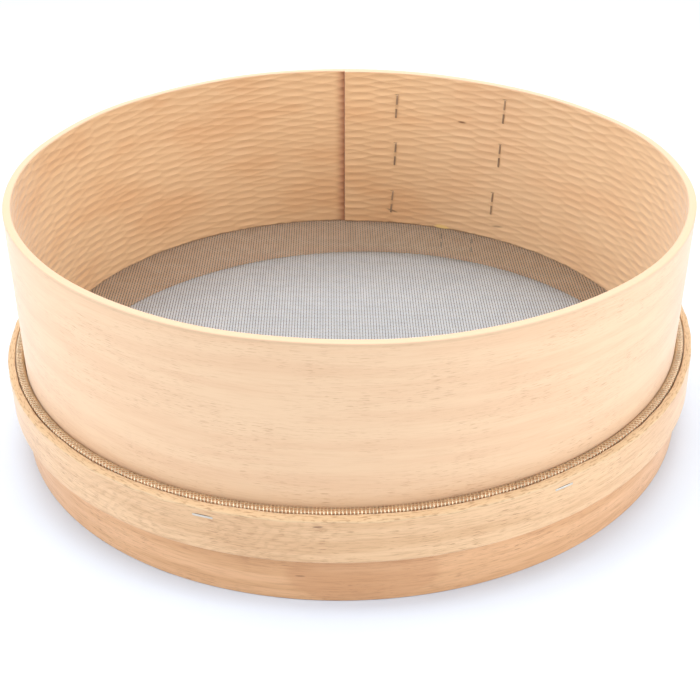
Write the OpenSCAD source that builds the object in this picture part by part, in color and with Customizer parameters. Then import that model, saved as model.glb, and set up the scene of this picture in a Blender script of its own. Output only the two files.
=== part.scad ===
// Drum sieve of bent beech: a tall hoop pressed into a foot ring over a wire cloth,
// whose turned-up edge an outer hoop clamps. The table is z = 0, the front is -Y.

/* [Drum] */
// Outer diameter of the tall hoop
drum_d = 300; // [240:1:360]
// Thickness of the tall hoop's strip
drum_wall = 3.5; // [2.5:0.1:5]
// Height of the rim's centre above the table
drum_top = 112; // [90:0.5:160]
// Slope of the tall hoop and the cloth under it, higher on the left
lean = 1.6; // [0:0.1:1.8]
// Width of the flat eased along each wooden arris
ease = 0.5; // [0.2:0.1:0.8]

/* [Lap joint of the tall hoop] */
// Direction of the strip's inner end, from the back towards the right
seam_dir = -0.1; // [-30:0.1:20]
// Angle that the two ends overlap
lap_angle = 46; // [42:1:60]
// Thickness of the inner end, which stands proud inside
lap_step = 1.4; // [0.8:0.1:2]
// Thickness to which the inner layer thins out at the far end of the lap
lap_thin = 0.2; // [0.1:0.05:0.4]
// Width of the fine line where the flush outer end stops
lap_line = 0.4; // [0.2:0.1:0.8]

/* [Foot ring] */
// Thickness of the foot ring's strip
ring_wall = 2.8; // [2.4:0.1:4]
// Height of the foot ring's wood above the table
ring_top = 42.55; // [38:0.05:60]

/* [Outer hoop] */
// Thickness of the outer hoop's strip
hoop_wall = 4.1; // [3:0.1:6]
// Height of the outer hoop's strip
hoop_h = 19.9; // [16:0.1:22]
// How far the outer hoop's top lies under the cloth that covers the foot ring
hoop_drop = 0.7; // [0.6:0.1:3]

/* [Wire cloth] */
// Height of the middle of the cloth that the drum stands on
mesh_level = 22.6; // [20:0.1:30]
// Thickness of the woven cloth
cloth_t = 0.5; // [0.4:0.05:0.7]
// Spacing of the net's bars, which stand in for the far finer wires
net_pitch = 16; // [16:0.5:30]
// Width of a bar, chosen so that the net weighs what the cloth does
net_bar = 1.4; // [1:0.1:3]
// How far the cloth's tail hangs down outside the foot ring
tail = 14; // [8:0.5:18]

/* [Staples] */
// Width of the wire of a staple
wire_w = 0.8; // [0.7:0.1:1.2]
// Thickness of the wire of a staple
wire_t = 0.5; // [0.4:0.05:0.8]
// Crown of a staple in the tall hoop's joint
drum_crown = 13.4; // [12.5:0.1:15]
// Length of each bent-over leg tip inside the tall hoop
drum_tip = 5.2; // [3:0.1:5.4]
// Crown of a staple in the outer hoop
hoop_crown = 9; // [7:0.1:11]
// Length of a leg driven into the outer hoop
hoop_leg = 6.2; // [5:0.1:6.6]
// How many staples hold the outer hoop
hoop_staples_n = 7; // [5:1:9]
// Direction of the first of them, from the front towards the right
hoop_staple_dir = -21; // [-25:0.1:25]
// Crown of a staple in the foot ring's joint
ring_crown = 9; // [7:0.1:11]

/* [Fits] */
// Clearance round the leaning hoop inside the cloth
play = 0.07; // [0.05:0.01:0.2]
// Clearance between clamped layers, and round a staple's wire
gap = 0.05; // [0.03:0.01:0.1]

/* [Hidden] */
$fn = 128;
beech = [0.93, 0.77, 0.61];
beech_dark = [0.82, 0.62, 0.45];
steel = [0.72, 0.71, 0.70];

drum_r = drum_d / 2;
drum_in_r = drum_r - drum_wall;
cloth_top = ring_top + gap + cloth_t;
seat_mid = (mesh_level + drum_r * sin(lean) + cloth_top) / 2;
cloth_in_r = drum_r / cos(lean) + (cloth_top - seat_mid) * sin(lean) + play;
ring_in_r = cloth_in_r + cloth_t + gap;
ring_out_r = ring_in_r + ring_wall;
cloth_out_r = ring_out_r + gap;
hoop_in_r = cloth_out_r + cloth_t + gap;
hoop_out_r = hoop_in_r + hoop_wall;
hoop_top = cloth_top - hoop_drop;
hoop_mid = hoop_top - hoop_h / 2;
far = 3 * drum_d;

// The lap's inner layer is thickest at the seam and thins out where the outer end stops.
lap_facets = 32;
lap_end_dir = seam_dir + lap_angle;
lap_root = 0.3;
line_depth = 0.5;
function lap_part(dir) = (lap_end_dir - dir) / lap_angle;
function lap_r(dir) = drum_in_r - lap_thin - (lap_step - lap_thin) * lap_part(dir);

// Staples of the tall hoop's joint: direction from the back, share of the height, tilt.
drum_staple_spots = [[11.2, 0.788, -3], [11.1, 0.476, -2.6], [10.6, 0.149, -4.5],
                     [35.5, 0.849, -3], [35, 0.567, -1.6], [33.9, 0.242, -2.8]];
function joint_z(share) = mesh_level + share * (drum_top - mesh_level);

// The outer hoop's staples lie well above the middle of its strip.
staple_rise = 6;
hoop_step = 360 / hoop_staples_n;
hoop_dirs = [for (i = [0 : hoop_staples_n - 1]) hoop_staple_dir + i * hoop_step];
// Both lower laps close at the back, where the photographed side does not reach.
hoop_lap_dir = 205;
ring_lap_dir = 155;
lap_staple_dir = 3.5;
hoop_lap_dirs = [hoop_lap_dir - lap_staple_dir, hoop_lap_dir + lap_staple_dir];
ring_lap_dirs = [ring_lap_dir - lap_staple_dir, ring_lap_dir + lap_staple_dir];
ring_staple_z = 11;
ring_tip = 3;

// One strip of wood bent to a full ring, its four arrises eased.
module strip(r_in, r_out, z0, z1) {
    rotate_extrude() polygon([
        [r_in, z0 + ease], [r_in + ease, z0], [r_out - ease, z0], [r_out, z0 + ease],
        [r_out, z1 - ease], [r_out - ease, z1], [r_in + ease, z1], [r_in, z1 - ease]]);
}

// The tall hoop and the cloth under it lean together about the middle of the seat.
module leaning() {
    translate([0, 0, seat_mid])
        rotate([0, lean, 0])
            translate([0, 0, -seat_mid])
                children();
}

// The half space above a level.
module above(z) {
    translate([-far / 2, -far / 2, z])
        cube([far, far, far]);
}

// Turns +X to a direction counted from the front, or from the back, towards the right.
module from_front(dir) {
    rotate([0, 0, dir - 90]) children();
}
module from_back(dir) {
    rotate([0, 0, 90 - dir]) children();
}

// A staple's wire with its crown along Y, its outer face at x = 0 and its legs along -X.
// A positive grow makes the slot that the wire lies in, open to the outside.
module staple(crown, leg, tip, grow = 0) {
    w = wire_w + 2 * grow;
    mouth = grow > 0 ? wire_t : 0;
    translate([-wire_t - grow, -crown / 2 - grow, -w / 2])
        cube([wire_t + grow + mouth, crown + 2 * grow, w]);
    for (side = [-1, 1]) {
        translate([-leg - grow, side * (crown - wire_t) / 2 - wire_t / 2 - grow, -w / 2])
            cube([leg + grow, wire_t + 2 * grow, w]);
        if (tip > 0) {
            translate([-leg - grow, side * (crown - tip) / 2 - tip / 2 - grow, -w / 2])
                cube([wire_t + 2 * grow, tip + 2 * grow, w]);
        }
    }
}

// The staples through the tall hoop's joint stand upright, flush outside.
module drum_staple_set(grow = 0) {
    for (spot = drum_staple_spots) {
        leg = drum_r - gap - lap_r(spot[0]) + wire_t / 2;
        from_back(spot[0])
            translate([drum_r - gap, 0, joint_z(spot[1])])
                rotate([90 + spot[2], 0, 0])
                    staple(drum_crown, leg, drum_tip, grow);
    }
}

module hoop_staple_set(grow = 0) {
    for (dir = hoop_dirs) {
        from_front(dir)
            translate([hoop_out_r, 0, hoop_mid + staple_rise])
                staple(hoop_crown, hoop_leg, 0, grow);
    }
    for (dir = hoop_lap_dirs) {
        from_front(dir)
            translate([hoop_out_r, 0, hoop_mid])
                rotate([90, 0, 0])
                    staple(hoop_crown, hoop_leg, 0, grow);
    }
}

module ring_staple_set(grow = 0) {
    for (dir = ring_lap_dirs) {
        from_front(dir)
            translate([ring_out_r, 0, ring_staple_z])
                rotate([90, 0, 0])
                    staple(ring_crown, ring_wall + wire_t / 2, ring_tip, grow);
    }
}

// A fine upright line cut where a flush strip end stops.
module end_line(r) {
    translate([r - line_depth, -lap_line / 2, -far / 2])
        cube([line_depth + ease, lap_line, far]);
}

// The inner end of the tall hoop's strip, lying on the other end.
module lap_layer() {
    dirs = [for (i = [0 : lap_facets]) seam_dir + i * lap_angle / lap_facets];
    inner = [for (dir = dirs) lap_r(dir) * [sin(dir), cos(dir)]];
    outer = [for (i = [lap_facets : -1 : 0]) (drum_in_r + lap_root) * [sin(dirs[i]), cos(dirs[i])]];
    translate([0, 0, mesh_level])
        linear_extrude(drum_top - mesh_level)
            polygon(concat(inner, outer));
}

module drum_hoop() {
    color(beech) leaning() difference() {
        union() {
            strip(drum_in_r, drum_r, mesh_level, drum_top);
            lap_layer();
        }
        from_back(lap_end_dir) end_line(drum_r);
        drum_staple_set(gap);
    }
}

module drum_staples() {
    color(steel) leaning() drum_staple_set();
}

module foot_ring() {
    color(beech_dark) difference() {
        strip(ring_in_r, ring_out_r, 0, ring_top);
        from_front(ring_lap_dir) end_line(ring_out_r);
        ring_staple_set(gap);
        hoop_staple_set(gap);
    }
}

module ring_staples() {
    color(steel) ring_staple_set();
}

module outer_hoop() {
    color(beech) difference() {
        strip(hoop_in_r, hoop_out_r, hoop_top - hoop_h, hoop_top);
        from_front(hoop_lap_dir) end_line(hoop_out_r);
        hoop_staple_set(gap);
    }
}

module hoop_staples() {
    color(steel) hoop_staple_set();
}

// The flat part of the cloth: a rim under the drum's edge and a net of bars inside it.
module mesh_floor() {
    rows = floor(drum_in_r / net_pitch);
    rim_in_r = drum_in_r + ease;
    color(steel) leaning() translate([0, 0, mesh_level - cloth_t]) {
        difference() {
            cylinder(h = cloth_t, r = drum_r);
            translate([0, 0, -gap])
                cylinder(h = cloth_t + 2 * gap, r = rim_in_r);
        }
        intersection() {
            cylinder(h = cloth_t, r = rim_in_r + ease);
            for (i = [-rows : rows]) {
                translate([i * net_pitch - net_bar / 2, -drum_r, 0])
                    cube([net_bar, drum_d, cloth_t]);
                translate([-drum_r, i * net_pitch - net_bar / 2, 0])
                    cube([drum_d, net_bar, cloth_t]);
            }
        }
    }
}

// The cloth's edge: up round the drum, over the foot ring and down under the outer hoop.
module mesh_edge() {
    tail_z = ring_top - tail;
    color(steel) difference() {
        intersection() {
            rotate_extrude() polygon([
                [cloth_in_r, 0], [cloth_in_r, cloth_top],
                [cloth_out_r + cloth_t - ease, cloth_top],
                [cloth_out_r + cloth_t, cloth_top - ease],
                [cloth_out_r + cloth_t, tail_z], [cloth_out_r, tail_z],
                [cloth_out_r, ring_top + gap], [ring_in_r - gap, ring_top + gap],
                [ring_in_r - gap, 0]]);
            leaning() above(mesh_level - cloth_t);
        }
        hoop_staple_set(gap);
    }
}

drum_hoop();
drum_staples();
foot_ring();
ring_staples();
outer_hoop();
hoop_staples();
mesh_floor();
mesh_edge();
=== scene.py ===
# Looks of a drum sieve: bent beech hoops, a woven steel cloth and staples.
# Lengths are in millimetres up to the functions that make a mesh, which write metres.
# Directions are degrees from the back (+Y) towards the right (+X), so 180 is the front.
import math

import bpy
import numpy as np
from mathutils import Matrix, Vector


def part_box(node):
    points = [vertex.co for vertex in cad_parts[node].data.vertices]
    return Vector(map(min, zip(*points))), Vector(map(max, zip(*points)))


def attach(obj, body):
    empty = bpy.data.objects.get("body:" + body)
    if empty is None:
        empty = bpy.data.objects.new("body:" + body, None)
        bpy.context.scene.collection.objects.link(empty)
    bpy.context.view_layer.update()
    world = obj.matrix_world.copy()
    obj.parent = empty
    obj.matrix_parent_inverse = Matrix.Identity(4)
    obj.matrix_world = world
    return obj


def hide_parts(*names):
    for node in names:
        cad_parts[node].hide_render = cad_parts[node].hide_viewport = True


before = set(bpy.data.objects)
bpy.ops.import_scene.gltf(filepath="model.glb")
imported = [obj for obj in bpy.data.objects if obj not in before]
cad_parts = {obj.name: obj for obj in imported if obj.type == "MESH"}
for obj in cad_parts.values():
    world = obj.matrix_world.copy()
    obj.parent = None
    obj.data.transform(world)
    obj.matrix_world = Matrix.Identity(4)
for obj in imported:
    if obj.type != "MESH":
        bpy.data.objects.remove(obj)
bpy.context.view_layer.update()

MM = 0.001

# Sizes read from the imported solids
DRUM_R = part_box("drum_hoop")[1].y / MM
RING_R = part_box("foot_ring")[1].y / MM
RING_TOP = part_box("foot_ring")[1].z / MM
CLOTH_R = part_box("mesh_edge")[1].y / MM
CLOTH_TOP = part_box("mesh_edge")[1].z / MM
HOOP_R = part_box("outer_hoop")[1].y / MM
HOOP_LOW, HOOP_TOP = (corner.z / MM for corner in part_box("outer_hoop"))

# Sizes that repeat the construction's own values
DRUM_WALL = 3.5
DRUM_TOP = 112
MESH_LEVEL = 22.6
LEAN = math.radians(1.6)
RING_WALL = 2.8
HOOP_WALL = 4.1
CLOTH_T = 0.5
TAIL = 14
SEAM = -0.1
LAP_ANGLE = 46
LAP_STEP = 1.4
LAP_THIN = 0.2
HOOP_LAP = -25
RING_LAP = 25
HOOP_THINNER = 0.8
DRUM_IN_R = DRUM_R - DRUM_WALL
SEAT_MID = (MESH_LEVEL + DRUM_R * math.sin(LEAN) + CLOTH_TOP) / 2

# Weave of the cloth, and its edge over the foot ring. There the wires that run straight across
# stand higher and look thicker than those along it. Each turns down at the knee, and stops
# short of the cloth's end.
PITCH = 1.4
WEFT_R, WARP_R = 0.104, 0.16
CRIMP = 0.1
EDGE_IN_R, EDGE_OUT_R = DRUM_R + 0.4, CLOTH_R - CLOTH_T / 2
EDGE_ROUND, EDGE_POWER = 1.3, 2.6
EDGE_WIRE_R, EDGE_WIRE_MORE = 0.11, 0.16
EDGE_SINK = 0.25
EDGE_KNEE, EDGE_SHORT = 2, 1.5

# Arrises of the strips, and the fine upright grooves where their flush ends stop
DRUM_EASE, STRIP_EASE = 0.55, 0.5
GROOVE_DEEP, GROOVE_DEGREES, GROOVE_FADE = 0.35, 0.13, 0.04
CLOSE_COLUMNS = np.array([-0.16, -0.07, 0.07, 0.16])
CLOSE_ROW = 0.2
DRUM_GAP, LAP_FADE = 0.1, 0.05
# Soft corners of the rim: how far they stand out, how many there are, and where one is
RIM_CORNERS = [(0.6, 3, 102), (0.45, 4, 81)]

# Marks of the planer inside the tall hoop: hollows in rows, between two families of ridges
# that cross. Rows of each family are counted at four places along the strip.
RIDGE_DEEP = 0.24
RIDGE_HIGH = 4.3
RIDGE_SHAKE = 0.05
RIDGE_END = 1.2
RIDGE_PLACES = (0, 200, 742, 942)
FIRST_ROWS = (0.49, 6.03, 23.77, 30.02)
SECOND_ROWS = (-0.08, -7.73, -27.75, -34.89)


def wobble(at, seed, waves, lowest=1):
    """A smooth curve round the ring, of whole waves, between about -1 and 1."""
    draw = np.random.default_rng(seed)
    total = np.zeros_like(at)
    for turns in range(lowest, lowest + waves):
        total += draw.normal() * np.cos(np.radians(at) * turns + draw.uniform(0, 2 * math.pi))
    return total / math.sqrt(waves)


def drift(along, up, seed, long, high, waves=7):
    """A smooth uneven surface over a strip, with features about long by high."""
    draw = np.random.default_rng(seed)
    total = np.zeros(np.broadcast(along, up).shape)
    for _ in range(waves):
        turn = 2 * math.pi * draw.uniform(0.5, 1.3)
        tilt = draw.uniform(0, 2 * math.pi)
        wave = math.cos(tilt) * along / long + math.sin(tilt) * up / high
        total += np.cos(turn * wave + draw.uniform(0, 2 * math.pi))
    return total / math.sqrt(waves / 2)


def leaned(points):
    """Turns points with the tall hoop, whose left side stands higher."""
    x, y, z = points[..., 0], points[..., 1], points[..., 2] - SEAT_MID
    c, s = math.cos(LEAN), math.sin(LEAN)
    return np.stack([x * c + z * s, y, z * c - x * s + SEAT_MID], axis=-1)


def ring_points(dirs, radius, z):
    """Points at these directions, radii and heights."""
    turn = np.radians(dirs)
    return np.stack([radius * np.sin(turn), radius * np.cos(turn), z], axis=-1)


def volume_sign(points, quads):
    """1 where the faces look outwards, and -1 where they look inwards."""
    a, b, c, d = (points[quads[:, k]] for k in range(4))
    inside = np.cross(b - a, c - a) + np.cross(c - a, d - a)
    return 1 if (inside * (a + b + c + d)).sum() > 0 else -1


def make_mesh(name, points, faces):
    """A mesh object in metres from points in millimetres."""
    mesh = bpy.data.meshes.new(name)
    mesh.from_pydata((points * MM).tolist(), [], faces.tolist())
    mesh.shade_smooth()
    made = bpy.data.objects.new(name, mesh)
    bpy.context.scene.collection.objects.link(made)
    return made


def dress(piece, material, slot, *nodes):
    """Gives a piece its material, hides the solids it stands for, and lets it ride; slot is not
    used.
    """
    piece.data.materials.clear()
    piece.data.materials.append(material)
    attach(piece, "root")
    if nodes:
        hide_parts(*nodes)
    return piece


def corner(r, z, radius, start, steps=3):
    """A quarter round of an arris, from angle start on."""
    turn = np.radians(start + np.linspace(0, 90, steps + 1))
    return np.stack([r + radius * np.cos(turn), z + radius * np.sin(turn)], axis=-1)


INNER, TOP, OUTER, BOTTOM = range(4)


def strip_profile(r_in, r_out, z0, z1, ease, inner_rows, outer_rows, flat_rows=3):
    """Profile of a strip with eased arrises, counter-clockwise from the outer foot."""
    def line(low, high, rows):
        near = CLOSE_ROW * (1 if high > low else -1)
        return np.concatenate([[low + near], np.linspace(low, high, rows + 2)[1:-1], [high - near]])

    def column(r, low, high, rows):
        heights = line(low, high, rows)
        return np.stack([np.full(len(heights), r), heights], axis=-1)

    def row(z, low, high, rows):
        radii = line(low, high, rows)
        return np.stack([radii, np.full(len(radii), z)], axis=-1)

    parts = [
        (OUTER, corner(r_out - ease, z0 + ease, ease, -90)),
        (OUTER, column(r_out, z0 + ease, z1 - ease, outer_rows)),
        (TOP, corner(r_out - ease, z1 - ease, ease, 0)),
        (TOP, row(z1, r_out - ease, r_in + ease, flat_rows)),
        (TOP, corner(r_in + ease, z1 - ease, ease, 90)),
        (INNER, column(r_in, z1 - ease, z0 + ease, inner_rows)),
        (INNER, corner(r_in + ease, z0 + ease, ease, 180)),
        (BOTTOM, row(z0, r_in + ease, r_out - ease, flat_rows)),
    ]
    side = np.concatenate([np.full(len(points), kind) for kind, points in parts])
    return np.concatenate([points for _, points in parts]), side


def columns_of(count, start, marks=()):
    """Directions of a ring's columns from start on, with closer ones at each mark."""
    even = start + np.arange(count) * 360 / count
    extra = [start + (mark - start + CLOSE_COLUMNS) % 360 for mark in marks]
    return np.sort(np.concatenate([even, *extra]))


def spread(profile, dirs):
    """The profile's radius and height at every direction, each as a grid to bend."""
    shape = (len(dirs), len(profile))
    return (np.broadcast_to(profile[:, k], shape).copy() for k in (0, 1))


def ring_mesh(name, dirs, points, profile, late=False, **attributes):
    """Joins columns of profile points to a closed ring, with its unrolled strip as UV map.

    Faces that are late lie one turn further along the strip, on its outer end."""
    count, rows = points.shape[:2]
    i, j = np.meshgrid(np.arange(count), np.arange(rows), indexing="ij")
    corners = [(i, j), (i + 1, j), (i + 1, j + 1), (i, j + 1)]
    quads = np.stack([(a % count) * rows + b % rows for a, b in corners], axis=-1).reshape(-1, 4)
    steps = np.linalg.norm(np.roll(profile, -1, axis=0) - profile, axis=1)
    v = np.concatenate([[0], np.cumsum(steps)])
    u = np.radians(np.append(dirs, dirs[0] + 360)) * DRUM_R
    u_late = np.broadcast_to(late, (count, rows)) * 2 * math.pi * DRUM_R
    uv = np.stack([np.stack([u[a] + u_late, v[b]], axis=-1) for a, b in corners], axis=2)
    uv = uv.reshape(-1, 4, 2)
    flat = points.reshape(-1, 3)
    if volume_sign(flat, quads) < 0:
        quads, uv = quads[:, ::-1], uv[:, ::-1]
    made = make_mesh(name, flat, quads)
    layer = made.data.uv_layers.new(name="grain")
    layer.uv.foreach_set("vector", (uv * MM).astype(np.float32).ravel())
    for key, values in attributes.items():
        layer = made.data.attributes.new(key, "FLOAT", "POINT")
        grid = np.broadcast_to(values, (count, rows)).astype(np.float32)
        layer.data.foreach_set("value", grid.ravel())
    made.data.set_sharp_from_angle(angle=math.radians(40))
    return made


def groove(dirs, mark):
    """Depth of the fine upright line where a strip's flush end stops."""
    off = np.abs((dirs - mark + 180) % 360 - 180)
    return GROOVE_DEEP * np.clip((GROOVE_DEGREES - off) / GROOVE_FADE, 0, 1)


def ridge_lines(along, up):
    """The two families of planer marks, each a whole number on its ridges."""
    shaken = RIDGE_SHAKE * drift(along, up, 11, 45, 16), RIDGE_SHAKE * drift(along, up, 12, 40, 14)
    fine = RIDGE_SHAKE * drift(along, up, 13, 14, 5)
    first = up / RIDGE_HIGH + np.interp(along, RIDGE_PLACES, FIRST_ROWS) + shaken[0] + fine
    second = up / RIDGE_HIGH + np.interp(along, RIDGE_PLACES, SECOND_ROWS) + shaken[1] - fine
    return first, second


def hollows(first, second):
    """Height of the marks: 1 where two ridges cross, 0 in the middle of the hollow between four."""
    return sum((2 * (line % 1) - 1) ** 2 for line in (first, second)) / 2


def lap_layer(dirs):
    """Thickness of the inner end of the strip, which lies on its other end."""
    part = (SEAM + LAP_ANGLE - dirs) / LAP_ANGLE
    layer = LAP_THIN + (LAP_STEP - LAP_THIN) * part
    fade = np.clip(part / LAP_FADE, 0, 1)
    return np.where((dirs >= SEAM) & (part > 0), layer * fade, 0)


def out_of_round(dirs):
    """How far the rim stands out of its circle: bent by hand, it has soft corners."""
    return sum(out * np.cos(np.radians(count * (dirs - first)))
               for out, count, first in RIM_CORNERS)


def build_drum():
    """The tall hoop, with its lap, its planer marks inside and a rim that isn't quite even."""
    profile, side = strip_profile(
        DRUM_IN_R, DRUM_R, MESH_LEVEL, DRUM_TOP, DRUM_EASE, inner_rows=148, outer_rows=14)
    dirs = columns_of(470, SEAM, [SEAM + LAP_ANGLE])
    end = SEAM + 360 - DRUM_GAP
    dirs = np.append(dirs[dirs < end - 2 * DRUM_GAP], end)
    d = dirs[:, None]
    r, z = spread(profile, dirs)
    share = (z - MESH_LEVEL) / (DRUM_TOP - MESH_LEVEL)
    inner = (side == INNER)[None, :]
    r -= lap_layer(d) * np.clip((DRUM_R - r) / DRUM_WALL, 0, 1)
    above, below = (z - MESH_LEVEL - 0.4) / RIDGE_END, (DRUM_TOP - 0.5 - z) / RIDGE_END
    ends = np.clip(above, 0, 1) * np.clip(below, 0, 1)
    along = np.radians(d) * DRUM_R
    first, second = ridge_lines(along, z)
    depth = RIDGE_DEEP * np.clip(1 + 0.3 * drift(along, z, 15, 30, 8), 0.3, 1.6)
    r -= depth * (hollows(first, second) - 0.4) * ends * inner
    r -= groove(d, SEAM + LAP_ANGLE) * (side == OUTER)[None, :]
    dents, rise = 0.1 * wobble(d, 21, 9, 6), 0.12 * wobble(d, 22, 9, 3)
    nicks = 0.1 * np.maximum(wobble(d, 23, 60, 20) - 0.4, 0)
    r += (out_of_round(d) + dents) * share
    height = z.copy()
    z += rise * share
    z += nicks * (1 - share) * inner
    late = (d < SEAM + LAP_ANGLE) & (side == OUTER)[None, :]
    return ring_mesh("drum", dirs, leaned(ring_points(d, r, z)), profile, late, first_ridge=first,
                     second_ridge=second, inside=inner, top=(side == TOP)[None, :],
                     height=height * MM)


def build_foot_ring():
    """The ring that the sieve stands on."""
    profile, side = strip_profile(
        RING_R - RING_WALL, RING_R, 0, RING_TOP, STRIP_EASE, inner_rows=10, outer_rows=24)
    dirs = columns_of(300, RING_LAP, [RING_LAP])
    d = dirs[:, None]
    r, z = spread(profile, dirs)
    outer = (side == OUTER)[None, :]
    r -= groove(d, RING_LAP) * outer
    r += 0.03 * drift(np.radians(d) * RING_R, z, 31, 60, 12) * outer
    # The top 3 mm of the ring, which its wood paints darker as shade
    top = np.clip((z - RING_TOP + 3) / 2, 0, 1)
    return ring_mesh("foot_ring_wood", dirs, ring_points(d, r, z), profile, top=top,
                     inside=(side == INNER)[None, :], height=z * MM)


def build_outer_hoop():
    """The band that clamps the cloth. Its top edge was broken by hand, so it wanders."""
    profile, side = strip_profile(HOOP_R - HOOP_WALL, HOOP_R, HOOP_LOW, HOOP_TOP, STRIP_EASE,
                                  inner_rows=6, outer_rows=14, flat_rows=5)
    dirs = columns_of(480, HOOP_LAP, [HOOP_LAP])
    d = dirs[:, None]
    r, z = spread(profile, dirs)
    up = np.clip((z - HOOP_TOP + 2.5) / 2.5, 0, 1)
    across = np.clip((r - HOOP_R + HOOP_WALL) / HOOP_WALL, 0, 1)
    r -= HOOP_THINNER * np.sin(np.radians(d)) ** 2 * across
    r -= groove(d, HOOP_LAP) * (side == OUTER)[None, :]
    chips, torn = 0.14 * np.abs(wobble(d, 41, 50, 8)), 0.17 * (wobble(d, 42, 60, 8) + 0.8)
    r -= chips * up * across
    r += torn * up * (1 - across)
    height = z.copy()
    wander, nicks = 0.08 * wobble(d, 43, 30, 5), 0.15 * np.abs(wobble(d, 44, 60, 10))
    z -= wander * up + nicks * up * across
    worn = 0.5 + 0.3 * wobble(d, 45, 70, 12)
    z -= worn * up * np.clip(across * 1.6 - 0.6, 0, 1) ** 2
    return ring_mesh("outer_hoop_wood", dirs, ring_points(d, r, z), profile,
                     top=(side == TOP)[None, :], height=height * MM)


def sweep(paths, laterals, radius):
    """Wires of square section along paths, each with its own sideways direction, ends capped."""
    points, faces, base = [], [], 0
    turn = 2 * math.pi * (np.arange(4) + 0.5) / 4
    for path, lateral in zip(paths, laterals):
        tangent = np.gradient(path, axis=0)
        normal = np.cross(lateral, tangent)
        normal /= np.linalg.norm(normal, axis=1, keepdims=True)
        thick = radius(path)[:, None, None] if callable(radius) else radius
        ring = path[:, None] + thick * (
            np.cos(turn)[None, :, None] * lateral + np.sin(turn)[None, :, None] * normal[:, None])
        i, j = np.meshgrid(np.arange(len(path) - 1), np.arange(4), indexing="ij")
        j2 = (j + 1) % 4
        quads = np.stack([i * 4 + j, i * 4 + j2, (i + 1) * 4 + j2, (i + 1) * 4 + j], axis=-1)
        caps = np.array([[3, 2, 1, 0], (len(path) - 1) * 4 + np.arange(4)])
        faces.append(base + np.concatenate([quads.reshape(-1, 4), caps]))
        points.append(ring.reshape(-1, 3))
        base += len(path) * 4
    return np.concatenate(points), np.concatenate(faces)


ACROSS, AWAY, UP = np.eye(3)


def floor_wires(run, side, start):
    """Crimped wires of one direction over the flat of the cloth, start for over or under."""
    reach = DRUM_R - 0.1
    level = MESH_LEVEL - CLOTH_T / 2
    count = int(reach / PITCH)
    paths = []
    for i in range(-count, count + 1):
        off = i * PITCH
        half = math.sqrt(reach ** 2 - off ** 2)
        crossings = int(half / PITCH)
        at = np.arange(-crossings, crossings + 1)
        high = CRIMP * np.where((at + i + start) % 2 == 0, 1, -1)
        path = off * side + (at * PITCH)[:, None] * run
        path[:, 2] = level + high
        paths.append(leaned(path))
    return paths


def build_floor_cloth(weft, warp):
    """The flat cloth, in four pieces: the wires that run each way, and two halves of each."""
    for name, run, side, start, radius, material in [
            ("weft", ACROSS, AWAY, 0, WEFT_R, weft), ("warp", AWAY, ACROSS, 1, WARP_R, warp)]:
        paths = floor_wires(run, side, start)
        middle = len(paths) // 2
        for half, part in [("left", paths[:middle]), ("right", paths[middle:])]:
            points, faces = sweep(part, [side] * len(part), radius)
            piece = make_mesh(f"cloth_{name}_{half}", points, faces)
            dress(piece, material, "wire_cloth", "mesh_floor")


def edge_height(radius):
    """Height of the cloth's middle over the foot ring, rounded down on both sides."""
    share = np.clip((radius - EDGE_IN_R) / (EDGE_OUT_R - EDGE_IN_R) * 2 - 1, -1, 1)
    drop = 1 - (1 - np.abs(share) ** EDGE_POWER) ** (1 / EDGE_POWER)
    return CLOTH_TOP - CLOTH_T / 2 - EDGE_ROUND * drop


def crosswise(path, run):
    """1 where a wire runs straight over the foot ring, 0 where it runs along it."""
    flat = path[:, :2]
    return np.abs(flat @ run[:2]) / np.maximum(np.linalg.norm(flat, axis=1), 1)


def edge_run(off, sign, run, side, start):
    """One wire's way over the foot ring: up inside, straight across, and down outside."""
    inner = abs(off) < EDGE_IN_R
    far = math.sqrt(EDGE_OUT_R ** 2 - off ** 2)
    near = math.sqrt(EDGE_IN_R ** 2 - off ** 2) if inner else -far
    steps = max(6, int((far - near) / (PITCH / 2)))
    at = near + (far - near) * (0.5 - 0.5 * np.cos(math.pi * np.linspace(0, 1, steps + 1)))
    path = off * side + (sign * at)[:, None] * run
    path[:, 2] = edge_height(np.linalg.norm(path[:, :2], axis=1))
    crossing = crosswise(path, run)
    wave = CRIMP * start * np.cos(math.pi * at / PITCH)
    path[:, 2] += EDGE_SINK * (crossing - 1) + (1 - crossing) * wave
    drop = np.array([[0, 0, EDGE_KNEE], [0, 0, TAIL - EDGE_SHORT]])
    cloth_level = MESH_LEVEL - path[0, 0] * math.sin(LEAN)
    deep = np.array([[0, 0, EDGE_KNEE], [0, 0, CLOTH_TOP - cloth_level - EDGE_SHORT]])
    return np.concatenate([path[0] - (deep if inner else drop)[::-1], path, path[-1] - drop])


def build_edge_cloth(material):
    """The cloth's edge over the foot ring, wire by wire."""
    count = int((EDGE_OUT_R - 0.2) / PITCH)
    for name, run, side, phase in [("weft", ACROSS, AWAY, 0), ("warp", AWAY, ACROSS, 1)]:
        def thick(path):
            return EDGE_WIRE_R + EDGE_WIRE_MORE * crosswise(path, run) ** 2

        paths, laterals = [], []
        for i in range(-count, count + 1):
            start = 1 if (i + phase) % 2 == 0 else -1
            off = i * PITCH
            for sign in (1, -1) if abs(off) < EDGE_IN_R else (1,):
                paths.append(edge_run(off, sign, run, side, start))
                laterals.append(side * sign)
        points, faces = sweep(paths, laterals, thick)
        piece = make_mesh(f"edge_{name}", points, faces)
        dress(piece, material, "wire_cloth", "mesh_edge")


# Staples: their wire's section, how far their crowns stand out and how their corners bend
STAPLE_W, STAPLE_T = 0.95, 0.5
STAPLE_PROUD = 0.12
STAPLE_BEND = 0.45
STAPLE_POWER = 0.6
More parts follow.
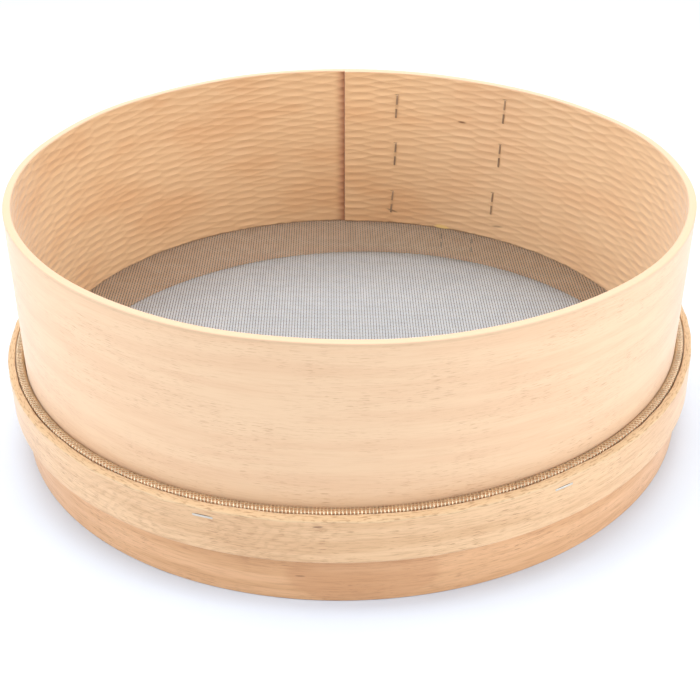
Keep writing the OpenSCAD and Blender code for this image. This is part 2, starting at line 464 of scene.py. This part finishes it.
# Those of the tall hoop: direction, share of the height, and tilt
DRUM_STAPLES = [(11.2, 0.788, -3), (11.1, 0.476, -2.6), (10.6, 0.149, -4.5),
                (35.5, 0.849, -3), (35, 0.567, -1.6), (33.9, 0.242, -2.8)]
DRUM_CROWN, DRUM_TIP, TIP_PROUD = 13.4, 5.2, 0.2
HOOP_CROWN, HOOP_LEG = 9, 6.2
HOOP_STAPLES, HOOP_STAPLE_DIR, STAPLE_RISE = 7, 180 + 21, 6
RING_STAPLE_Z, RING_TIP = 11, 3
LAP_STAPLE_DIR = 3.5


def staple_path(crown, leg, tip):
    """Middle line of a staple: its crown along Y at x = 0, its legs along -X."""
    half, bend = crown / 2 - STAPLE_T / 2, STAPLE_BEND
    quarter = np.radians(np.linspace(0, 90, 5))
    side = [(-leg, half)]
    if tip:
        side = [(-leg, half - tip)] + [
            (-leg + bend * (1 - math.cos(a)), half - bend + bend * math.sin(a)) for a in quarter]
    side += [(-bend + bend * math.sin(a), half - bend + bend * math.cos(a)) for a in quarter]
    both = np.concatenate([side, np.array(side)[::-1] * [1, -1]])
    return np.column_stack([both, np.zeros(len(both))])


def flat_wire(path, width, thick):
    """A wire of rounded flat section along a path in the XY plane."""
    turn = np.radians(np.arange(0, 360, 45) + 22.5)
    wide = width / 2 * np.sign(np.cos(turn)) * np.abs(np.cos(turn)) ** STAPLE_POWER
    deep = thick / 2 * np.sign(np.sin(turn)) * np.abs(np.sin(turn)) ** STAPLE_POWER
    tangent = np.gradient(path, axis=0)
    normal = np.column_stack([-tangent[:, 1], tangent[:, 0], np.zeros(len(path))])
    normal /= np.linalg.norm(normal, axis=1, keepdims=True)
    return path[:, None] + deep[None, :, None] * normal[:, None] + wide[None, :, None] * UP


def loft(rings, base):
    """Faces that join the rings of one wire, and close its ends."""
    count, sides = rings.shape[:2]
    i, j = np.meshgrid(np.arange(count - 1), np.arange(sides), indexing="ij")
    j2 = (j + 1) % sides
    quads = np.stack([i * sides + j, i * sides + j2, (i + 1) * sides + j2, (i + 1) * sides + j],
                     axis=-1).reshape(-1, 4)
    ends = [list(range(sides))[::-1], [(count - 1) * sides + k for k in range(sides)]]
    return [[base + k for k in face] for face in quads.tolist() + ends]


def turned(rings, direction, radius, z, tilt, upright):
    """Puts a staple's rings at its place: on a radius, upright or lying, and tilted."""
    x, y, w = rings[..., 0], rings[..., 1], rings[..., 2]
    angle = math.radians(tilt + (90 if upright else 0))
    c, s = math.cos(angle), math.sin(angle)
    side, up = y * c - w * s, y * s + w * c
    a = math.radians(direction)
    out = radius + x
    return np.stack([out * math.sin(a) + side * math.cos(a),
                     out * math.cos(a) - side * math.sin(a), z + up], axis=-1)


def build_staples(name, spots, lean, material, node):
    """All staples of one strip, each with its direction, radius, height, tilt and sizes."""
    points, faces, base = [], [], 0
    for direction, radius, z, tilt, upright, crown, leg, tip in spots:
        rings = flat_wire(staple_path(crown, leg, tip), STAPLE_W, STAPLE_T)
        placed = turned(rings, direction, radius, z, tilt, upright)
        placed = leaned(placed) if lean else placed
        faces += loft(rings, base)
        points.append(placed.reshape(-1, 3))
        base += placed.shape[0] * placed.shape[1]
    mesh = bpy.data.meshes.new(name)
    mesh.from_pydata((np.concatenate(points) * MM).tolist(), [], faces)
    mesh.shade_smooth()
    mesh.set_sharp_from_angle(angle=math.radians(50))
    piece = bpy.data.objects.new(name, mesh)
    bpy.context.scene.collection.objects.link(piece)
    dress(piece, material, "staple_steel", node)


def lap_radius(direction):
    """Radius of the wood's inner face at a direction within the lap."""
    return DRUM_IN_R - float(lap_layer(np.array(direction)))


def hoop_face(direction):
    """Radius of a staple's crown that is pressed into the outer hoop's face."""
    face = HOOP_R - HOOP_THINNER * math.sin(math.radians(direction)) ** 2
    return face - STAPLE_T / 2 + STAPLE_PROUD


def build_all_staples(bright, dull):
    """The staples of the three strips: the outer hoop's are clean, the others stained."""
    outside = DRUM_R - STAPLE_T / 2 + STAPLE_PROUD
    height = DRUM_TOP - MESH_LEVEL
    drum = [(d, outside + out_of_round(d) * share, MESH_LEVEL + share * height, tilt, True,
             DRUM_CROWN, outside - lap_radius(d) + TIP_PROUD, DRUM_TIP)
            for d, share, tilt in DRUM_STAPLES]
    build_staples("drum_staple_wires", drum, True, dull, "drum_staples")
    middle = (HOOP_LOW + HOOP_TOP) / 2
    hoop = []
    for i in range(HOOP_STAPLES):
        direction = HOOP_STAPLE_DIR - i * 360 / HOOP_STAPLES
        hoop.append((direction, hoop_face(direction), middle + STAPLE_RISE, 0, False,
                     HOOP_CROWN, HOOP_LEG - STAPLE_T, 0))
    for step in (-LAP_STAPLE_DIR, LAP_STAPLE_DIR):
        direction = HOOP_LAP + step
        hoop.append((direction, hoop_face(direction), middle, 0, True,
                     HOOP_CROWN, HOOP_LEG - STAPLE_T, 0))
    build_staples("hoop_staple_wires", hoop, False, bright, "hoop_staples")
    ring = [(RING_LAP + step, RING_R - STAPLE_T / 2 + STAPLE_PROUD, RING_STAPLE_Z, 0, True,
             HOOP_CROWN, RING_WALL, RING_TIP) for step in (-LAP_STAPLE_DIR, LAP_STAPLE_DIR)]
    build_staples("ring_staple_wires", ring, False, dull, "ring_staples")


def add(tree, kind, inputs=None, **settings):
    """A node with its settings and its inputs, each a value or another node's output."""
    made = tree.nodes.new(kind)
    for key, value in settings.items():
        setattr(made, key, value)
    for key, value in (inputs or {}).items():
        if isinstance(value, bpy.types.NodeSocket):
            tree.links.new(value, made.inputs[key])
        else:
            made.inputs[key].default_value = value
    return made


def calc(tree, operation, a, b=0.0):
    """One step of arithmetic on values or nodes' outputs."""
    return add(tree, "ShaderNodeMath", {0: a, 1: b}, operation=operation).outputs[0]


def times(tree, first, *others):
    """The product of values or nodes' outputs."""
    for other in others:
        first = calc(tree, "MULTIPLY", first, other)
    return first


def ramp(tree, value, low, high):
    """0 at low and 1 at high, with a soft start and end."""
    made = add(tree, "ShaderNodeMapRange", {"Value": value, "From Min": low, "From Max": high},
               interpolation_type="SMOOTHSTEP")
    return made.outputs[0]


def mix(tree, factor, a, b):
    """Two colours mixed by a factor."""
    return add(tree, "ShaderNodeMix", {0: factor, 6: a, 7: b}, data_type="RGBA").outputs[2]


def linear(r, g, b):
    """A colour given as a screen shows it, 0 to 255, as the shader wants it."""
    def one(c):
        c = c / 255
        return c / 12.92 if c <= 0.04045 else ((c + 0.055) / 1.055) ** 2.4
    return (one(r), one(g), one(b), 1.0)


def new_material(name, **constants):
    """A material's tree and its shader, whose plain values are set on its own sockets."""
    material = bpy.data.materials.new(name)
    material.use_nodes = True
    tree = material.node_tree
    shader = tree.nodes["Principled BSDF"]
    for socket, value in constants.items():
        shader.inputs[socket.replace("_", " ")].default_value = value
    return material, tree, shader


def attribute(tree, name):
    """A value that the mesh keeps at each of its points."""
    return add(tree, "ShaderNodeAttribute", attribute_name=name).outputs["Fac"]


def strip_place(tree):
    """Place on the unrolled strip, in millimetres: along the grain, and across it."""
    uv = add(tree, "ShaderNodeUVMap", uv_map="grain").outputs[0]
    return add(tree, "ShaderNodeVectorMath", {0: uv, 3: 1000}, operation="SCALE").outputs[0]


def mark_place(tree, place):
    """Place on the strip by direction and height, in millimetres, the same on both faces."""
    along = add(tree, "ShaderNodeSeparateXYZ", {0: place}).outputs[0]
    up = times(tree, attribute(tree, "height"), 1000)
    return add(tree, "ShaderNodeCombineXYZ", {0: along, 1: up}).outputs[0]


def streaks(tree, place, long, high, detail=3.0, rough=0.5, seed=0.0):
    """Noise whose features are about long by high, in millimetres."""
    at = add(tree, "ShaderNodeMapping", {
        "Vector": place, "Location": (seed, seed * 1.7, seed), "Scale": (1 / long, 1 / high, 1)})
    noise = add(tree, "ShaderNodeTexNoise",
                {"Vector": at.outputs[0], "Scale": 1.0, "Detail": detail, "Roughness": rough},
                noise_dimensions="2D")
    return noise.outputs[0]


def oval(tree, place, direction, up, long, high, tilt=0.0):
    """Distance from a place on the strip: 0 there, and 1 on an oval of these half lengths."""
    along = math.radians(direction) * DRUM_R
    at = add(tree, "ShaderNodeMapping", {
        "Vector": place, "Location": (along, up, 0), "Rotation": (0, 0, math.radians(tilt)),
        "Scale": (long, high, 1)}, vector_type="TEXTURE").outputs[0]
    return add(tree, "ShaderNodeVectorMath", {0: at}, operation="LENGTH").outputs["Value"]


def spot(tree, place, direction, up, long, high, tilt=0.0, soft=0.5):
    """A single mark on the strip, 1 in its middle and 0 from its oval's edge on."""
    away = oval(tree, place, direction, up, long, high, tilt)
    return ramp(tree, away, 1.0, 1.0 - soft)


class Beech:
    """Plain beech: broad bands, fine fibres and short dark dashes along the strip."""

    def __init__(self, name, light, dark, fleck, seed, bands, dashes):
        self.material, self.tree, self.shader = new_material(
            name, Specular_IOR_Level=0.4, Sheen_Weight=0.42, Sheen_Roughness=0.35)
        tree = self.tree
        self.fleck = fleck
        self.place = strip_place(tree)
        self.marks = mark_place(tree, self.place)
        broad = streaks(tree, self.place, 90, 6, 3, seed=seed)
        fine = streaks(tree, self.place, 14, 0.8, 4, 0.6, seed=seed + 5)
        self.colour = mix(tree, ramp(tree, broad, 0.36, 0.66), linear(*light), linear(*dark))
        self.shade(fleck, ramp(tree, fine, 0.42, 0.8), 0.28 * bands)
        threads = streaks(tree, self.place, 5, 0.32, 2, 0.5, seed=seed + 11)
        patches = ramp(tree, streaks(tree, self.place, 35, 14, 2, seed=seed + 17), 0.3, 0.7)
        dash = times(tree, ramp(tree, threads, 0.58, 0.74), patches)
        self.shade(fleck, dash, dashes)
        self.rough = calc(tree, "ADD", times(tree, fine, 0.3), 0.42)
        height = calc(tree, "SUBTRACT", times(tree, fine, 0.5), times(tree, dash, 0.8))
        self.bump = add(tree, "ShaderNodeBump",
                        {"Strength": 0.25, "Distance": 0.0001, "Height": height}).outputs[0]

    def shade(self, colour, *factors):
        """Tints the wood by the product of the factors."""
        self.colour = mix(self.tree, times(self.tree, *factors), self.colour, linear(*colour))

    def tint_spot(self, colour, strength, *where, **how):
        """One mark on the strip."""
        self.shade(colour, spot(self.tree, self.marks, *where, **how), strength)

    def finish(self):
        """Joins the wood to its shader."""
        self.tree.links.new(self.colour, self.shader.inputs["Base Color"])
        self.tree.links.new(self.rough, self.shader.inputs["Roughness"])
        self.tree.links.new(self.bump, self.shader.inputs["Normal"])
        return self.material


def hollow_node(tree):
    """The same marks as the mesh has, at the shader's finer grain."""
    def one(name):
        off = calc(tree, "SUBTRACT", calc(tree, "FRACT", attribute(tree, name)), 0.5)
        return times(tree, off, off, 2)
    return calc(tree, "ADD", one("first_ridge"), one("second_ridge"))


# Marks on the tall hoop: colour, strength, direction, height, half lengths, tilt, softness
DRUM_MARKS = [
    ((120, 76, 44), 0.8, 25.9, 88.3, 3.4, 0.9, 0, 0.8),
    ((112, 82, 60), 0.6, 10.6, 30.6, 4.6, 0.8, -16, 0.7),
    ((112, 82, 60), 0.5, 35.5, 31.2, 4.6, 0.8, 8, 0.7),
    ((246, 210, 134), 0.9, 22.3, MESH_LEVEL + 1.2, 5.5, 1.6, -4, 0.5),
    ((110, 104, 100), 0.8, 38, DRUM_TOP, 0.9, 0.4, 0, 0.5),
]


# Tints of the tall hoop: its raw inner face, the patches on it, painted light on its right part,
# painted shade by the seam and in the gap along the cloth, painted shade just below the rim, and
# the rim
RAW, PATCH, PAINTED_LIGHT = (227, 183, 135), (214, 152, 98), (240, 208, 170)
SEAM_SHADE, GAP_SHADE = (170, 100, 66), (112, 74, 48)
BELOW_RIM_SHADE, RIM = (190, 160, 122), (217, 179, 146)
# Painted shade round the staples, and a dark mark at each staple's upper end
SLOT_SHADE, SLOT_END = (150, 100, 62), (112, 80, 56)


def shade_drum_inside(wood, inside):
    """The raw inner face: warmer, patchy and hollowed by the planer, with painted light on its
    right part and painted shade along its seam and above the cloth.
    """
    tree = wood.tree
    wood.shade(RAW, inside, 0.85)
    patches = ramp(tree, streaks(tree, wood.place, 60, 25, 2, seed=23), 0.4, 0.75)
    wood.shade(PATCH, patches, inside, 0.3)
    hollow = times(tree, hollow_node(tree), inside)
    wood.bump = add(tree, "ShaderNodeBump", {"Strength": 1.0, "Distance": 0.00025, "Height": hollow,
                                             "Normal": wood.bump}).outputs[0]
    along = add(tree, "ShaderNodeSeparateXYZ", {0: wood.place}).outputs[0]
    # Painted light: the inner face paler on the right, where light falls in from the left
    painted_light = times(tree, ramp(tree, along, 10, 90), ramp(tree, along, 330, 240))
    wood.shade(PAINTED_LIGHT, painted_light, inside, 0.28)
    # Painted shade: a dark band beside the step at the lap's end
    before = calc(tree, "SUBTRACT", math.radians(SEAM + 360) * DRUM_R, along)
    wood.shade(SEAM_SHADE, ramp(tree, before, 6.5, 0), inside, 0.7)
    # Painted shade: a ragged dark line in the gap just above the cloth
    ragged = times(tree, streaks(tree, wood.marks, 5, 2, 3, 0.6, seed=29), 0.0016)
    low = calc(tree, "SUBTRACT", attribute(tree, "height"), ragged)
    gap = ramp(tree, low, (MESH_LEVEL + 0.5) * MM, (MESH_LEVEL - 0.6) * MM)
    wood.shade(GAP_SHADE, gap, inside, 0.65)


def drum_material():
    """The tall hoop's wood, pale outside, with painted shade below the rim and round its staples.
    """
    wood = Beech("beech_drum", light=(232, 195, 156), dark=(228, 188, 149),
                 fleck=(176, 122, 84), seed=1.0, bands=0.4, dashes=0.5)
    tree = wood.tree
    inside = attribute(tree, "inside")
    shade_drum_inside(wood, inside)
    # Painted shade: the outside darker just below the rim's arris
    below_rim_shade = ramp(tree, attribute(tree, "height"), (DRUM_TOP - 2) * MM, (DRUM_TOP - 0.8) * MM)
    wood.shade(BELOW_RIM_SHADE, below_rim_shade, calc(tree, "SUBTRACT", 1.0, inside), 0.3)
    for mark in DRUM_MARKS:
        wood.tint_spot(*mark)
    # Painted shade round each staple, and a dark mark at the upper end of each
    for direction, share_up, _ in DRUM_STAPLES:
        up = MESH_LEVEL + share_up * (DRUM_TOP - MESH_LEVEL)
        wood.tint_spot(SLOT_SHADE, 0.2, direction, up, 1.3, DRUM_CROWN * 0.52, soft=0.8)
        wood.tint_spot(SLOT_END, 0.6, direction, up + DRUM_CROWN / 2, 1.7, 0.4, soft=0.7)
    wood.shade(RIM, attribute(tree, "top"), 0.85)
    return wood.finish()


# Tints of the foot ring and the outer hoop, with painted light on the ring's inner face and painted
# shade along the ring's top and in the hoop's staple slots
RING_INSIDE_LIGHT, RING_TOP_SHADE = (230, 184, 142), (194, 150, 112)
RING_BOARD, RING_KNOT = (190, 132, 88), (120, 74, 44)
HOOP_KNOT, HOOP_SLOT_SHADE = (106, 66, 40), (62, 44, 34)
HOOP_EDGE, HOOP_TORN = (214, 183, 142), (150, 106, 68)


def ring_material():
    """The foot ring's wood, a shade darker, with a darker board in front, painted light inside and
    painted shade on top.
    """
    wood = Beech("beech_foot_ring", light=(225, 176, 130), dark=(213, 162, 115),
                 fleck=(152, 100, 62), seed=4.0, bands=1.15, dashes=0.7)
    # Painted light: the inner face lighter, though the cloth above shades it
    wood.shade(RING_INSIDE_LIGHT, attribute(wood.tree, "inside"), 0.8)
    # Painted shade: the top 3 mm darker, under the cloth's wires and the hoop
    wood.shade(RING_TOP_SHADE, attribute(wood.tree, "top"), 0.7)
    wood.tint_spot(RING_BOARD, 0.32, 179, 12, 31, 14, soft=0.15)
    wood.tint_spot(RING_KNOT, 0.5, 188, 11.9, 2.4, 0.5)
    return wood.finish()


def arched(wood, direction, up, long, high, tilt, thick):
    """Nested arches of dark dashes, where the board was cut through its rings."""
    tree = wood.tree
    away = oval(tree, wood.marks, direction, up, long, high, tilt)
    uneven = times(tree, streaks(tree, wood.marks, 12, 5, 3), 0.25)
    rings = calc(tree, "SINE", times(tree, calc(tree, "ADD", away, uneven), 2 * math.pi / thick))
    inside = times(tree, ramp(tree, away, 1.5, 1.0), ramp(tree, away, 0.12, 0.3))
    line = times(tree, ramp(tree, rings, -0.4, 1.0), inside)
    broken = ramp(tree, streaks(tree, wood.place, 3.0, 0.5, 2, seed=3), 0.5, 0.66)
    wood.shade(wood.fleck, line, 0.08)
    wood.shade(wood.fleck, line, broken, 0.26)


def hoop_material():
    """The outer hoop's wood, with arched grain, painted shade in its staple slots and a torn top
    edge.
    """
    wood = Beech("beech_outer_hoop", light=(228, 188, 144), dark=(218, 175, 131),
                 fleck=(156, 104, 66), seed=7.0, bands=1.15, dashes=0.8)
    arched(wood, 204, 32, 48, 17, tilt=-12, thick=0.13)
    wood.tint_spot(HOOP_KNOT, 0.8, 184.9, 39.7, 2.3, 0.45, tilt=-3)
    # Painted shade: a dark groove over each staple's crown
    for i in range(HOOP_STAPLES):
        direction = HOOP_LAP + (HOOP_STAPLE_DIR - i * 360 / HOOP_STAPLES - HOOP_LAP) % 360
        wood.tint_spot(HOOP_SLOT_SHADE, 0.9, direction, (HOOP_LOW + HOOP_TOP) / 2 + STAPLE_RISE + 0.5,
                   HOOP_CROWN * 0.56, 0.42, soft=0.6)
    top = attribute(wood.tree, "top")
    wood.shade(HOOP_EDGE, top, 0.7)
    torn = ramp(wood.tree, streaks(wood.tree, wood.place, 3.5, 0.7, 2, seed=43), 0.52, 0.68)
    wood.shade(HOOP_TORN, torn, top, 0.5)
    return wood.finish()


# Tones of the wires: the cloth is one steel, its weft painted light, its warp painted shade, and
# its edge's wires a painted reflection of the wood; then the staples' clean and stained steel
WEFT_LIT, WARP_SHADED, EDGE_WIRE_REFLECTION = (210, 199, 183), (76, 71, 64), (240, 222, 190)
BRIGHT, STAINED = (214, 204, 190), (190, 162, 134)
DULLER = 0.82


def steel(name, tone, rough):
    """Drawn stainless wire, a little uneven in tone and polish along its length."""
    material, tree, shader = new_material(name, Metallic=1.0)
    place = add(tree, "ShaderNodeTexCoord").outputs["Object"]
    patches = add(tree, "ShaderNodeTexNoise",
                  {"Vector": place, "Scale": 180.0, "Detail": 2.0}).outputs[0]
    dull = tuple(c * DULLER for c in linear(*tone)[:3]) + (1.0,)
    colour = mix(tree, ramp(tree, patches, 0.35, 0.65), linear(*tone), dull)
    scratches = add(tree, "ShaderNodeTexNoise", {"Vector": place, "Scale": 2500.0}).outputs[0]
    bump = add(tree, "ShaderNodeBump", {"Strength": 0.1, "Distance": 0.00002, "Height": scratches})
    tree.links.new(colour, shader.inputs["Base Color"])
    tree.links.new(calc(tree, "ADD", times(tree, patches, 0.2), rough), shader.inputs["Roughness"])
    tree.links.new(bump.outputs[0], shader.inputs["Normal"])
    return material


FLOOR_HALF, FLOOR_DOWN = 4.0, 0.00005


def build_floor():
    """A plain white table, just under the sieve's foot."""
    mesh = bpy.data.meshes.new("floor")
    half = FLOOR_HALF
    mesh.from_pydata([(-half, -half, 0), (half, -half, 0), (half, half, 0), (-half, half, 0)],
                     [], [(0, 1, 2, 3)])
    floor = bpy.data.objects.new("floor", mesh)
    floor.location.z = -FLOOR_DOWN
    bpy.context.scene.collection.objects.link(floor)
    material = new_material(
        "white_table", Base_Color=(0.7, 0.76, 0.83, 1), Roughness=0.9, Specular_IOR_Level=0.1)[0]
    floor.data.materials.append(material)


# The tent round the sieve, and its lights: name, place, size, power and colour
TENT, TENT_STRENGTH = (0.97, 0.98, 1.0, 1), 0.68
COOL = (0.93, 0.98, 1.07)
LIGHTS = [
    ("overhead", (0.0, 0.2, 1.3), 0.9, 15.5, (1, 1, 1)),
    ("left", (-1.2, -0.3, 0.7), 0.8, 10.2, COOL),
    ("right", (1.1, -0.6, 0.6), 0.8, 10.4, COOL),
]
LIT = (0, 0, 0.05)


def area_light(name, place, size, power, colour):
    """A square soft light that looks at the middle of the sieve."""
    data = bpy.data.lights.new(name, "AREA")
    data.size, data.energy, data.color = size, power, colour
    light = bpy.data.objects.new(name, data)
    light.location = place
    light.rotation_euler = (Vector(LIT) - Vector(place)).to_track_quat("-Z", "Y").to_euler()
    bpy.context.scene.collection.objects.link(light)


def build_light():
    """A bright white tent: a pale world, a broad light overhead and one on each side."""
    world = bpy.data.worlds.new("tent")
    bpy.context.scene.world = world
    world.use_nodes = True
    back = world.node_tree.nodes["Background"]
    back.inputs["Color"].default_value = TENT
    back.inputs["Strength"].default_value = TENT_STRENGTH
    for light in LIGHTS:
        area_light(*light)
    bpy.context.scene.view_settings.view_transform = "Standard"


# The camera, found from the ellipses of the rims and the spacing of the wires
FOCAL_PX, FRAME_PX, SENSOR = 1244.1, 700, 36.0
PITCH_DOWN = math.radians(30.534)
ROLL = math.radians(-1.69)
DISTANCE = 599.7
AIM = (0.14, 0.0, 21.0)
AXIS_ROW = 350.6


def build_camera():
    """The photograph's view: looking down on the front, a little askew."""
    data = bpy.data.cameras.new("camera")
    data.sensor_width = SENSOR
    data.lens = FOCAL_PX * SENSOR / FRAME_PX
    data.shift_y = (AXIS_ROW - FRAME_PX / 2) / FRAME_PX
    camera = bpy.data.objects.new("camera", data)
    back = Vector((0, -math.cos(PITCH_DOWN), math.sin(PITCH_DOWN)))
    look = Matrix.Rotation(math.pi / 2 - PITCH_DOWN, 3, "X") @ Matrix.Rotation(ROLL, 3, "Z")
    camera.location = (Vector(AIM) + back * DISTANCE) * MM
    camera.rotation_euler = look.to_euler()
    bpy.context.scene.collection.objects.link(camera)
    bpy.context.scene.camera = camera


build_camera()
build_light()
build_floor()
dress(build_drum(), drum_material(), "drum_wood", "drum_hoop")
dress(build_foot_ring(), ring_material(), "ring_wood", "foot_ring")
dress(build_outer_hoop(), hoop_material(), "hoop_wood", "outer_hoop")
# The weft's tone is painted light and the warp's painted shade, though both are one steel
build_floor_cloth(steel("weft_steel", WEFT_LIT, rough=0.3), steel("warp_steel", WARP_SHADED, rough=0.3))
# The edge wires' warm tone is a painted reflection of the wood round them
build_edge_cloth(steel("edge_wire_steel", EDGE_WIRE_REFLECTION, rough=0.4))
build_all_staples(steel("staple_steel", BRIGHT, rough=0.28),
                  steel("staple_steel_dull", STAINED, rough=0.6))
